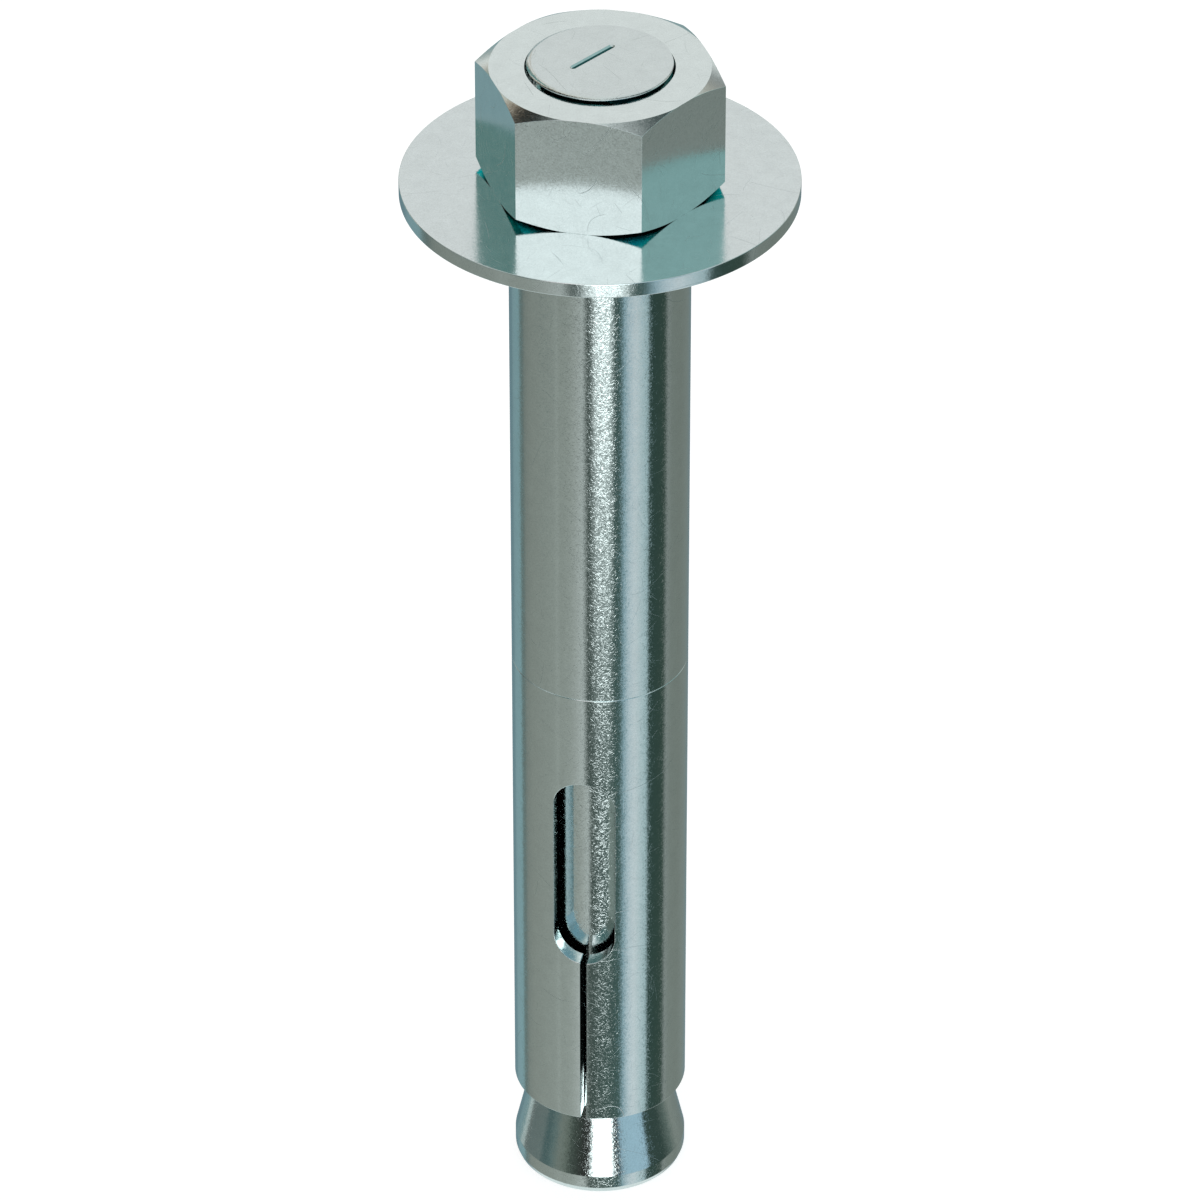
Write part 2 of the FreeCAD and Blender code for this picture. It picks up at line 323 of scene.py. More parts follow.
def make_sheet(name, node, cuts, columns, **owner):
    """Tube rolled from a punched strip. cuts go once round, from seam to seam."""
    low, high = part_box(node)
    outer = high.x
    layers = sheet_layers(outer, outer - WALL)
    sheet = Surface()
    for left, right in zip(cuts, cuts[1:]):
        count = max(2, round(columns * (right[0] - left[0]) / TURN))
        shares = np.linspace(0, 1, count + 1)
        skins = [skin(layer, left, right, shares, low.z) for layer in layers]
        radials = [unit(points * [1, 1, 0]) for points, _ in (skins[0], skins[-1])]
        sheet.add_grid(skins[0][0], radials[0])
        sheet.add_grid(skins[-1][0], -radials[1], flip=True)
        points = np.stack([p for p, _ in skins])
        normals = np.stack([n for _, n in skins])
        sheet.add_grid(points[:, 0], normals[:, 0], flip=True)
        sheet.add_grid(points[:, -1], normals[:, -1])
        for column, (_, outline), flip in ((0, left, False), (-1, right, True)):
            rows = np.flatnonzero(outline[2])
            sheet.add_grid(points[:, rows, column], normals[:, rows, column], flip=flip)
    return sheet.make(name, node=node, **owner)


def thread_profile():
    """Shares of the pitch and depth, and slopes, at the points of one thread."""
    root, crest = FLANK
    slope = 1 / (crest - root)
    rising = [(0, 0), (root - BLEND, 0), (root + BLEND, slope), (0.5 * (root + crest), slope)]
    rising += [(crest - BLEND, slope), (crest + BLEND, 0), (0.5, 0)]
    falling = [(1 - place, -rate) for place, rate in rising[-2:0:-1]]
    places = np.array([place for place, _ in rising + falling])
    slopes = np.array([rate for _, rate in rising + falling])
    folded = np.minimum(places, 1 - places)
    depths = np.clip((folded - root) * slope, 0, 1)
    depths[np.abs(folded - root + BLEND) < 1e-9] = 0
    return places, depths, slopes


def thread_grid(low, high, phase, angles, root, crest, fade, rest):
    """Rows that follow a right-hand helix, flattened onto rings at both ends.

    fade is how much of the thread's depth is left at a height, and rest its radius where none is.
    """
    places, depths, slopes = thread_profile()
    first = math.floor((low - phase) / THREAD_PITCH) - 1
    last = math.ceil((high - phase) / THREAD_PITCH) + 1
    turns = np.arange(first, last)
    along = (turns[:, None] + places).ravel()[:, None] + angles / TURN
    depth = np.tile(depths, len(turns))[:, None] + 0 * angles
    slope = np.tile(slopes, len(turns))[:, None] + 0 * angles
    free = phase + along * THREAD_PITCH
    height = np.clip(free, low, high)

    def radius_at(level):
        """Radius of each point of the thread, were it at this height."""
        return rest(level) + fade(level) * (root + (crest - root) * depth - rest(level))

    radius = radius_at(height)
    nudge = 0.001 * MM
    fading = (radius_at(height + nudge) - radius_at(height - nudge)) / (2 * nudge)
    rise = fade(height) * slope * (crest - root) / THREAD_PITCH
    radial = np.stack([np.cos(angles), np.sin(angles), 0 * angles], axis=-1)
    tangent = np.stack([-np.sin(angles), np.cos(angles), 0 * angles], axis=-1)
    points = radius[..., None] * radial
    points[..., 2] = height
    spin = rise * THREAD_PITCH / TURN / radius
    climb = (rise + fading)[..., None]
    normals = radial + spin[..., None] * tangent - climb * np.array([0, 0, 1.0])
    return points, unit(normals)


def step(value, start, end):
    """Smooth rise from 0 at start to 1 at end."""
    share = np.clip((value - start) / (end - start), 0, 1)
    return share * share * (3 - 2 * share)


def make_stud(material):
    """Stud in one piece: flat end, band, cone, shank, thread and bevelled tip."""
    _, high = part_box("stud")
    top = high.z
    band = high.x
    cone_rise = (band - SHANK_RADIUS) / CONE_SLOPE
    thread_low = top - THREAD_LENGTH
    thread_high = top - TIP_BEVEL[1] - TIP_EDGE
    angles = around(STUD_COLUMNS)
    body = Surface()
    foot_rows, foot_normals = profile_rows(
        [
            ((0, 0), 0),
            ((band - END_BEVEL[0], 0), EDGE),
            ((band, END_BEVEL[1]), EDGE),
            ((band, BAND_HEIGHT), EDGE),
            ((SHANK_RADIUS, BAND_HEIGHT + cone_rise), NECK_ROUNDING),
            ((SHANK_RADIUS, thread_low), 0),
        ]
    )
    body.add_grid(turn(foot_rows, angles), turn(foot_normals, angles))

    def depth_left(level):
        """Share of the thread's depth at a height: it fades in and closes under the bevel."""
        faded_in = step(level, thread_low, thread_low + THREAD_FADE_IN)
        return faded_in * step(thread_high - level, 0, THREAD_CLOSING)

    def bare_radius(level):
        """Radius of the stud at a height where it has no thread."""
        swell = step(level, top - CORE_SWELL[0], top - CORE_SWELL[1])
        return SHANK_RADIUS + (THREAD_RADIUS - SHANK_RADIUS) * swell

    root = THREAD_RADIUS - THREAD_DEPTH
    points, normals = thread_grid(
        thread_low, thread_high, top, angles, root, THREAD_RADIUS, depth_left, bare_radius
    )
    body.add_grid(points, normals)
    rows, normals = tip_rows(top, angles)
    body.add_grid(rows, normals)
    add_stamped_end(body, rows[-1, :-1], top)
    return body.make("stud_steel", body="stud", slot="stud_zinc", material=material, node="stud")


def tip_rows(top, angles):
    """Rows and normals of the stud's rounded bevel, whose inner rim lies off the axis by TIP_SHIFT."""
    radial = np.stack([np.cos(angles), np.sin(angles), 0 * angles], axis=-1)
    upward = np.array([0, 0, 1.0])
    outer = radial * THREAD_RADIUS + upward * (top - TIP_BEVEL[1])
    inner = radial * (THREAD_RADIUS - TIP_BEVEL[0]) + np.array([*TIP_SHIFT, top])
    low = outer + TIP_BLEND * (inner - outer)
    high = outer + (1 - TIP_BLEND) * (inner - outer)
    points = [outer - upward * TIP_EDGE, low, high, inner - radial * TIP_EDGE]
    facing = [radial, *(unit(lean * radial + upward) for lean in TIP_LEAN)]
    return np.stack(points), np.stack([*facing, 0 * radial + upward])


# Plain bar stamped into the stud's end: its ends seen from above, half its width, depth.
BAR_ENDS = ((-2.07 * MM, -1.32 * MM), (0.47 * MM, 2.76 * MM))
BAR_HALF_WIDTH = 0.3 * MM
BAR_DEPTH = 0.2 * MM
# Rows from the bar's mouth to its floor: share of the half width, share of the depth, lean inward.
BAR_ROWS = [(1.0, 0.0, 0.0), (0.93, 0.08, 1.0), (0.2, 0.95, 0.8), (0.1, 1.0, 0.0)]
BAR_SPINE = 0.01
BAR_END_POINTS = 9


def bar_outline(half_width):
    """Outline of the stamped bar with round ends, widened by half_width on every side."""
    start, end = (Vector(place) for place in BAR_ENDS)
    heading = math.atan2(end.y - start.y, end.x - start.x)
    outline = []
    for centre, first in ((end, heading - math.pi / 2), (start, heading + math.pi / 2)):
        for t in np.linspace(0, math.pi, BAR_END_POINTS):
            outline.append(centre + half_width * Vector((math.cos(first + t), math.sin(first + t))))
    return outline


def add_stamped_end(body, rim_points, top):
    """Flat end of the stud, filled between its rim and the bar stamped into it."""
    rim = [Vector(point[:2]) for point in rim_points]
    mouth = bar_outline(BAR_HALF_WIDTH)
    loop = [list(range(len(rim))), list(range(len(rim), len(rim) + len(mouth)))]
    inside_only, tolerance = 1, 1e-9
    filled = delaunay_2d_cdt(rim + mouth, [], loop, inside_only, tolerance)
    flat, _, faces, _, _, origins = filled
    kept = [face for face, origin in zip(faces, origins) if 1 not in origin]
    body.add([(p.x, p.y, top) for p in flat], [(0, 0, 1)] * len(flat), kept)
    rows, normals = [], []
    spine = bar_outline(BAR_HALF_WIDTH * BAR_SPINE)
    for width, drop, lean in BAR_ROWS:
        outline = bar_outline(BAR_HALF_WIDTH * width)
        inward = [(q - p).normalized() * lean for p, q in zip(outline, spine)]
        row = [(p.x, p.y, top - BAR_DEPTH * drop) for p in outline]
        facing = [(push.x, push.y, 1) for push in inward]
        rows.append(row + row[:1])
        normals.append(facing + facing[:1])
    body.add_grid(np.array(rows), unit(np.array(normals)))
    floor = rows[-1][:-1]
    body.add(floor, [(0, 0, 1)] * len(floor), [list(range(len(floor)))])


def hexagon(half_width, columns_per_side=28):
    """Angles, radii and normals round a hexagon with slightly rounded corners, one flat facing -Y."""
    half_side = (half_width - NUT_CORNER_ROUNDING) * math.tan(math.pi / 6)
    outline, facing = [], []
    for side in range(6):
        middle = side * math.pi / 3
        out = np.array([math.cos(middle), math.sin(middle)])
        across = np.array([-out[1], out[0]])
        for t in np.linspace(-half_side, half_side, columns_per_side + 1):
            outline.append(out * half_width + across * t)
            facing.append(out)
        pivot = out * (half_width - NUT_CORNER_ROUNDING) + across * half_side
        for t in np.radians(NUT_CORNER_BENDS):
            bend = out * math.cos(t) + across * math.sin(t)
            outline.append(pivot + bend * NUT_CORNER_ROUNDING)
            facing.append(bend)
    turned = math.pi / 6
    spin = np.array([[math.cos(turned), math.sin(turned)], [-math.sin(turned), math.cos(turned)]])
    outline, facing = np.array(outline) @ spin, np.array(facing) @ spin
    angles = np.arctan2(outline[:, 1], outline[:, 0])
    order = np.argsort(angles % TURN)
    outline, facing = outline[order], facing[order]
    angles = (angles % TURN)[order]
    wrap = np.append(np.arange(len(order)), 0)
    angles = np.append(angles, angles[0] + TURN)
    return angles, np.linalg.norm(outline, axis=1)[wrap], facing[wrap]


def make_nut(material):
    """Hexagon nut: round chamfers on both faces, threaded bore with countersunk mouths."""
    low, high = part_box("nut")
    foot, top = low.z, high.z
    half_width = -low.y
    face_radius = half_width + NUT_FACE_MARGIN
    angles, radius, facing = hexagon(half_width)
    radial = np.stack([np.cos(angles), np.sin(angles)], axis=-1)
    face_edge = np.minimum(face_radius, radius)
    drop = np.maximum(radius - face_radius, 0) * NUT_CHAMFER
    nut = Surface()
    for level, up in ((top, 1), (foot, -1)):
        rows, normals = nut_end_rows(level, up, radius, face_edge, drop, radial, facing)
        nut.add_grid(rows, normals, flip=up > 0)
    wall = [
        np.concatenate([radial * radius[:, None], level[:, None]], axis=-1)
        for level in (foot + drop + NUT_EDGE, top - drop - NUT_EDGE)
    ]
    wall_facing = np.concatenate([facing, 0 * facing[:, :1]], axis=-1)
    nut.add_grid(np.stack(wall), np.stack([wall_facing, wall_facing]))
    crest = THREAD_RADIUS + NUT_CLEARANCE
    root = THREAD_RADIUS - THREAD_DEPTH + NUT_ROOT_GAP
    thread_low, thread_high = foot + NUT_SINK, top - NUT_SINK

    def depth_left(level):
        """Share of the thread's depth at a height: it fades at both mouths."""
        faded_in = step(level - thread_low, 0, NUT_THREAD_FADE)
        return faded_in * step(thread_high - level, 0, NUT_THREAD_FADE)

    def bare_radius(level):
        """Radius of the bore where it has no thread."""
        return crest + 0 * level

    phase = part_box("stud")[1].z
    points, normals = thread_grid(
        thread_low, thread_high, phase, angles, root, crest, depth_left, bare_radius
    )
    nut.add_grid(points, -normals, flip=True)
    outer_lean, inner_lean = NUT_MOUTH_LEAN
    for level, inner, up in ((top, thread_high, 1), (foot, thread_low, -1)):
        mouth = np.array([(NUT_MOUTH + EDGE, level), (NUT_MOUTH, level - up * EDGE), (crest, inner)])
        tilt = unit(np.array([(0, up), (-1, outer_lean * up), (-1, inner_lean * up)]))
        nut.add_grid(turn(mouth, angles), turn(tilt, angles), flip=up < 0)
    return nut.make("nut_steel", body="nut", slot="nut_zinc", material=material, node="nut")


def nut_end_rows(level, up, radius, face_edge, drop, radial, facing):
    """Rows from the bore's mouth over the face and chamfer to the top of the wall."""
    slope = unit(np.array([NUT_CHAMFER, 1.0]))
    has_chamfer = (drop > 0)[:, None]
    flat = np.array([0, 0, up])
    cone = np.concatenate([radial * slope[0], np.full_like(radial[:, :1], up * slope[1])], axis=-1)
    wall = np.concatenate([facing, 0 * facing[:, :1]], axis=-1)
    on_cone = np.where(has_chamfer, cone, unit(wall + flat))
    inset = np.minimum(NUT_EDGE, (radius - face_edge) * CHAMFER_EDGE_SHARE)
    middle_in, middle_down = CHAMFER_MIDDLE
    rows = [
        (NUT_MOUTH + EDGE + 0 * radius, 0 * radius, flat + 0 * cone),
        (face_edge - NUT_EDGE, 0 * radius, flat + 0 * cone),
        (face_edge + inset, inset * NUT_CHAMFER, on_cone),
        (radius - inset, drop - inset * NUT_CHAMFER, on_cone),
        (radius - middle_in * NUT_EDGE, drop + middle_down * NUT_EDGE, unit(on_cone + wall)),
        (radius, drop + NUT_EDGE, wall),
    ]
    points = [
        np.concatenate([radial * r[:, None], (level - up * fall)[:, None]], axis=-1)
        for r, fall, _ in rows
    ]
    return np.stack(points), np.stack([normal for _, _, normal in rows])


class Graph:
    """Short way to add and join the nodes of a shader."""

    def __init__(self, tree):
        self.tree = tree
        tree.nodes.clear()

    def node(self, kind, inputs=None, **settings):
        """Add a node; inputs are values, or sockets to link, by name or number."""
        node = self.tree.nodes.new("ShaderNode" + kind)
        for name, value in settings.items():
            setattr(node, name, value)
        for socket, value in (inputs or {}).items():
            if isinstance(value, bpy.types.NodeSocket):
                self.tree.links.new(value, node.inputs[socket])
            else:
                node.inputs[socket].default_value = value
        return node

    def math(self, operation, *values):
        """Result of a Math node."""
        return self.node("Math", dict(enumerate(values)), operation=operation).outputs[0]

    def remap(self, value, start, end, low=0.0, high=1.0, smooth=False):
        """Value taken from start..end to low..high and held beyond it."""
        kind = "SMOOTHSTEP" if smooth else "LINEAR"
        inputs = {0: value, 1: start, 2: end, 3: low, 4: high}
        return self.node("MapRange", inputs, interpolation_type=kind).outputs[0]

    def blend(self, share, first, second):
        """Colour between two colours."""
        node = self.node("Mix", {0: share, 6: first, 7: second}, data_type="RGBA")
        return node.outputs[2]

    def ramp(self, position, stops):
        """Colour ramp through (position, colour) stops."""
        node = self.node("ValToRGB", {0: position})
        ramp = node.color_ramp
        while len(ramp.elements) < len(stops):
            ramp.elements.new(1.0)
        for element, (place, colour) in zip(ramp.elements, stops):
            element.position = place
            element.color = (*colour, 1)
        return node.outputs[0]


# Soft sides of a line, in half widths, and where its end starts to fade, as a share of its reach.
LINE_EDGE = (0.6, 1.4)
LINE_END = 0.85


def fibres(graph, place, facing, cell, width, reach, shift):
    """Lines, about one in each cell: how much of one is here, and which way its side leans.

    The lines are straight where place is, and bend as it does. facing is the surface's normal, cell
    and width are sizes in metres, and reach is a line's half length in cells. The distance from a
    line is taken within the surface, so that a line is equally wide all along.
    """
    moved = graph.node("VectorMath", {0: place, 1: (shift, shift, shift)}).outputs[0]
    scaled = graph.node("VectorMath", {0: moved, 3: 1 / cell}, operation="SCALE").outputs[0]
    cells = graph.node("TexVoronoi", {"Vector": scaled, "Scale": 1.0}).outputs
    offset = graph.node("VectorMath", {0: scaled, 1: cells["Position"]}, operation="SUBTRACT")
    lean = graph.node("VectorMath", {0: cells["Color"], 1: (0.5, 0.5, 0.5)}, operation="SUBTRACT")
    across = graph.node(
        "VectorMath", {0: offset.outputs[0], 1: lean.outputs[0]}, operation="DOT_PRODUCT"
    ).outputs["Value"]
    in_surface = graph.node("VectorMath", {0: lean.outputs[0], 1: facing}, operation="CROSS_PRODUCT")
    spread = graph.node("VectorMath", {0: in_surface.outputs[0]}, operation="LENGTH").outputs["Value"]
    away = graph.math("ABSOLUTE", graph.math("DIVIDE", across, spread))
    half = 0.5 * width / cell
    on_line = graph.remap(away, LINE_EDGE[0] * half, LINE_EDGE[1] * half, 1.0, 0.0)
    distance = graph.node("VectorMath", {0: offset.outputs[0]}, operation="LENGTH").outputs["Value"]
    within = graph.remap(distance, LINE_END * reach, reach, 1.0, 0.0)
    return graph.math("MULTIPLY", on_line, within), lean.outputs[0]


def lean_by(graph, normal, share, lean, amount):
    """Normal pushed along a direction by a share of an amount."""
    push = graph.math("MULTIPLY", share, amount)
    pushed = graph.node("VectorMath", {0: lean, 3: push}, operation="SCALE").outputs[0]
    return graph.node("VectorMath", {0: normal, 1: pushed}).outputs[0]


# Short scuffs of the plating: size of a cell with one scuff in it, width of the scuff.
SCUFFS = [
    (0.11 * MM, 0.02 * MM),
    (0.15 * MM, 0.022 * MM),
    (0.2 * MM, 0.022 * MM),
    (0.34 * MM, 0.022 * MM),
]
SCUFF_REACH = 1.0
# Long scratches: size of a cell with one scratch in it, width of the scratch.
HAIRLINES = [(7 * MM, 0.05 * MM), (3.5 * MM, 0.03 * MM), (1.6 * MM, 0.02 * MM)]
HAIRLINE_REACH = 0.4
HAIRLINE_SHIFT = 0.05
HAIRLINE_ROUGHNESS = 0.42
# Each set of lines is moved on from the one before it, so that their cells don't coincide.
SET_SHIFT = 0.01
# The noise that bends the scratches: its size, and how far it moves them.
BEND_SIZE = 7 * MM
BEND_REACH = 4 * MM
# Mottle of the plating: a coarse grain and fine pits, and the share of the pits.
GRAIN_SIZE = 1.3 * MM
PIT_SIZE = 0.14 * MM
PIT_SHARE = 0.45
MOTTLE_SPAN = (0.33, 0.67)
GRAIN_SPAN = (0.3, 0.7)
ROUGHNESS_SPAN = (0.9, 1.15)
# Shares of the tint that the darkest mottle and a scratch keep.
MOTTLE_SHARE = 0.87
HAIRLINE_SHARE = 0.76

TINT = (0.64, 0.74, 0.735)
WASHER_TINT = (0.67, 0.77, 0.77)
NUT_TINT = (0.70, 0.81, 0.80)

# Painted shade in hollows that little light leaves: its tints and where it lies.
# Painted shade: a dark teal band on the stud's thread just under its bevel, where it sits in the nut's
# mouth.
THREAD_GAP_SHADE_TINT = (0.03, 0.11, 0.11, 1)
THREAD_GAP_SHADE_DEPTH = 1.2 * MM
THREAD_GAP_SHADE_BLUR = 0.01 * MM
# Painted shade under the nut: near black at its contact with the washer, teal further out, on faces
# that look down.
CONTACT_SHADE_TINT = (0, 0.01, 0.01, 1)
UNDER_NUT_SHADE_TINT = (0.01, 0.75, 0.77, 1)
UNDER_NUT_SHADE_RADII = (9.75 * MM, 10.4 * MM)
UNDER_NUT_SHADE_FACING = (-0.6, -0.8)
# Painted shade: near black on the slit walls, where the slits lie in shadow.
SLIT_SHADE_TINT = (0.05, 0.065, 0.065, 1)
# Walls of the slits that get painted shade, as low limit, high limit and blur: normal along the
# radius, normal up, height.
SLIT_SHADE_OUTWARD = (-0.9, 0.985, 0.01)
SLIT_SHADE_UPWARD = (-0.4, 0.25, 0.1)
SLIT_SHADE_HEIGHT = (14.4 * MM, 27.5 * MM, 0.8 * MM)


def between(graph, value, low, high, blur):
    """1 where a value lies between two limits, with soft ends."""
    return graph.math(
        "MULTIPLY", graph.remap(value, low - blur, low), graph.remap(value, high + blur, high)
    )


def thread_gap_shade(graph, coordinates):
    """Painted shade on the thread just under the bevel of the stud's end, in the shadowed gap inside
    the nut's mouth.
    """
    height = graph.node("SeparateXYZ", {0: coordinates["Object"]}).outputs[2]
    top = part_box("stud")[1].z
    bevel_foot = top - TIP_BEVEL[1] - TIP_EDGE
    return between(graph, height, top - THREAD_GAP_SHADE_DEPTH, bevel_foot, THREAD_GAP_SHADE_BLUR), THREAD_GAP_SHADE_TINT


def under_nut_shade(graph, coordinates):
    """Painted shade on faces that look down: near black by the axis, where they meet the washer, and a
    teal tint further out.
    """
    facing = graph.node("SeparateXYZ", {0: coordinates["Normal"]}).outputs[2]
    level = graph.node("VectorMath", {0: coordinates["Object"], 1: (1, 1, 0)}, operation="MULTIPLY")
    radius = graph.node("VectorMath", {0: level.outputs[0]}, operation="LENGTH").outputs["Value"]
    tint = graph.blend(graph.remap(radius, *UNDER_NUT_SHADE_RADII), CONTACT_SHADE_TINT, UNDER_NUT_SHADE_TINT)
    return graph.remap(facing, *UNDER_NUT_SHADE_FACING), tint


def slit_wall_shade(graph, coordinates):
    """Painted shade on the upright walls of the slits, above the stretch that the cone lights."""
    height = graph.node("SeparateXYZ", {0: coordinates["Object"]}).outputs[2]
    level = graph.node("VectorMath", {0: coordinates["Object"], 1: (1, 1, 0)}, operation="MULTIPLY")
    radial = graph.node("VectorMath", {0: level.outputs[0]}, operation="NORMALIZE").outputs[0]
    along = graph.node("VectorMath", {0: radial, 1: coordinates["Normal"]}, operation="DOT_PRODUCT")
    facing = graph.node("SeparateXYZ", {0: coordinates["Normal"]}).outputs[2]
    walls = graph.math(
        "MULTIPLY",
        between(graph, along.outputs["Value"], *SLIT_SHADE_OUTWARD),
        between(graph, facing, *SLIT_SHADE_UPWARD),
    )
    return graph.math("MULTIPLY", walls, between(graph, height, *SLIT_SHADE_HEIGHT)), SLIT_SHADE_TINT


def make_zinc(name, tint, roughness, scuff, shift, painted_shade=None):
    """Bright zinc plating over steel: short scuffs, bent scratches and a faint mottle.

    scuff is how far a scuff pushes the normal, and shift moves the lines from one piece to the next.
    The last argument gives where painted shade darkens the piece's hollows, which little light leaves,
    and the tint painted there.
    """
    material = bpy.data.materials.new(name)
    material.use_nodes = True
    graph = Graph(material.node_tree)
    coordinates = graph.node("TexCoord").outputs
    place, facing = coordinates["Object"], coordinates["Normal"]
    normal = graph.node("NewGeometry").outputs["Normal"]
    for index, (cell, width) in enumerate(SCUFFS):
        share, lean = fibres(graph, place, facing, cell, width, SCUFF_REACH, shift + SET_SHIFT * index)
        normal = lean_by(graph, normal, share, lean, scuff)
    bend = graph.node("TexNoise", {"Vector": place, "Scale": 1 / BEND_SIZE, "Detail": 0.0})
    bend = graph.node("VectorMath", {0: bend.outputs["Color"], 3: BEND_REACH}, operation="SCALE")
    bent = graph.node("VectorMath", {0: place, 1: bend.outputs[0]}).outputs[0]
    scratches = 0.0
    for index, (cell, width) in enumerate(HAIRLINES):
        shifted = shift + HAIRLINE_SHIFT + SET_SHIFT * index
        share, _ = fibres(graph, bent, facing, cell, width, HAIRLINE_REACH, shifted)
        scratches = graph.math("MAXIMUM", scratches, share)
    normal = graph.node("VectorMath", {0: normal}, operation="NORMALIZE").outputs[0]
    grain = graph.node(
        "TexNoise", {"Vector": place, "Scale": 1 / GRAIN_SIZE, "Detail": 6, "Roughness": 0.7}
    ).outputs[0]
    pits = graph.node("TexNoise", {"Vector": place, "Scale": 1 / PIT_SIZE, "Detail": 1.0}).outputs[0]
    coarse = graph.math("MULTIPLY", grain, 1 - PIT_SHARE)
    mottle = graph.math("MULTIPLY_ADD", pits, PIT_SHARE, coarse)
    low_tint = tuple(MOTTLE_SHARE * part for part in tint)
    scratch_tint = tuple(HAIRLINE_SHARE * part for part in tint)
    colour = graph.blend(graph.remap(mottle, *MOTTLE_SPAN), (*low_tint, 1), (*tint, 1))
    colour = graph.blend(scratches, colour, (*scratch_tint, 1))
    rim_tint = (1, 1, 1, 1)
    # Painted shade: the colour and the edge tint are darkened to the shade tint where the mask says
    # so.
    if painted_shade:
        inside, shade_tint = painted_shade(graph, coordinates)
        colour = graph.blend(inside, colour, shade_tint)
        rim_tint = graph.blend(inside, rim_tint, shade_tint)
    low_rough, high_rough = (share * roughness for share in ROUGHNESS_SPAN)
    rough = graph.remap(grain, *GRAIN_SPAN, low_rough, high_rough)
    rough = graph.math("MAXIMUM", rough, graph.math("MULTIPLY", scratches, HAIRLINE_ROUGHNESS))
    shader = graph.node(
        "BsdfPrincipled",
        {
            "Base Color": colour,
            "Metallic": 1.0,
            "Roughness": rough,
            "Specular Tint": rim_tint,
            "Normal": normal,
        },
    )
    graph.node("OutputMaterial", {"Surface": shader.outputs[0]})
    return material


# The photograph's place: degrees round the part and downward, metres away on the level and up.
CAMERA_AZIMUTH = 11.1
CAMERA_DOWN = 34.705
CAMERA_AWAY = 0.543254
CAMERA_HEIGHT = 0.438051

# Studio round the part: light on each ring of directions, by azimuth from the camera's side.
BELOW = [
    (-180, (0.16, 0.25, 0.29)),
    (-152, (0.17, 0.27, 0.30)),
    (-146, (0.25, 0.37, 0.40)),
    (-127, (0.27, 0.41, 0.44)),
    (-122, (0.17, 0.22, 0.21)),
    (-117, (0.17, 0.21, 0.20)),
    (-112, (0.27, 0.285, 0.26)),
    (-100, (0.31, 0.32, 0.29)),
    (-62, (0.36, 0.37, 0.34)),
    (-57, (0.42, 0.43, 0.40)),
    (-53, (0.36, 0.37, 0.34)),
    (-40, (0.40, 0.41, 0.38)),
    (-31, (0.47, 0.475, 0.45)),
    (-22, (0.60, 0.61, 0.59)),
    (-16, (0.07, 0.09, 0.08)),
    (26, (0.07, 0.12, 0.11)),
    (31, (0.32, 0.46, 0.52)),
    (38, (0.64, 0.71, 0.76)),
    (46, (0.78, 0.80, 0.83)),
    (55, (0.61, 0.70, 0.73)),
    (63, (0.50, 0.62, 0.65)),
    (67, (0.04, 0.073, 0.064)),
    (91, (0.05, 0.08, 0.065)),
    (97, (0.32, 0.335, 0.32)),
    (105, (0.25, 0.27, 0.245)),
    (125, (0.235, 0.255, 0.23)),
    (145, (0.24, 0.27, 0.25)),
    (180, (0.16, 0.25, 0.29)),
]
LEVEL = [
    (-180, (0.26, 0.38, 0.40)),
    (-135, (0.25, 0.36, 0.38)),
    (-128, (0.28, 0.38, 0.38)),
    (-125, (0.68, 0.74, 0.72)),
    (-118, (0.62, 0.68, 0.66)),
    (-114, (0.20, 0.22, 0.21)),
    (-106, (0.18, 0.215, 0.21)),
    (-84, (0.205, 0.24, 0.23)),
    (-79, (0.10, 0.155, 0.155)),
    (-72, (0.10, 0.155, 0.155)),
    (-66, (0.155, 0.215, 0.21)),
    (-55, (0.25, 0.27, 0.24)),
    (-46, (0.20, 0.225, 0.195)),
    (-38, (0.08, 0.10, 0.085)),
    (-20, (0.035, 0.035, 0.032)),
    (24, (0.05, 0.06, 0.06)),
    (30, (0.46, 0.64, 0.76)),
    (62, (0.48, 0.66, 0.79)),
    (66, (0.05, 0.08, 0.07)),
    (90, (0.05, 0.08, 0.07)),
    (106, (0.16, 0.20, 0.18)),
    (118, (0.32, 0.34, 0.31)),
    (150, (0.28, 0.32, 0.30)),
    (180, (0.26, 0.38, 0.40)),
]
ABOVE = [
    (-180, (0.915, 0.875, 0.87)),
    (-166, (0.915, 0.875, 0.87)),
    (-161, (0.70, 0.60, 0.53)),
    (-156, (1.05, 1.00, 0.98)),
    (-151, (0.60, 0.50, 0.43)),
    (-145, (0.13, 0.29, 0.28)),
    (-137, (0.13, 0.29, 0.28)),
    (-133, (0.90, 0.85, 0.80)),
    (-129, (0.80, 0.70, 0.60)),
    (-126, (0.40, 0.28, 0.20)),
    (-121, (0.18, 0.13, 0.10)),
    (-115, (0.05, 0.06, 0.06)),
    (-95, (0.40, 0.42, 0.40)),
    (-65, (0.90, 0.90, 0.90)),
    (-54, (0.12, 0.22, 0.22)),
    (-42, (0.12, 0.22, 0.22)),
    (-34, (0.50, 0.60, 0.60)),
    (-29, (1.70, 1.50, 1.52)),
    (-16, (1.70, 1.50, 1.52)),
    (-8, (1.00, 1.00, 1.00)),
    (2, (0.35, 0.52, 0.60)),
    (34, (0.33, 0.55, 0.68)),
    (45, (0.30, 0.40, 0.45)),
    (60, (0.90, 0.95, 0.95)),
    (86, (0.43, 0.60, 0.60)),
    (110, (0.43, 0.61, 0.61)),
    (125, (0.90, 0.92, 0.90)),
    (138, (0.50, 0.45, 0.40)),
    (146, (0.30, 0.30, 0.30)),
    (155, (0.90, 0.87, 0.86)),
    (180, (0.915, 0.875, 0.87)),
]
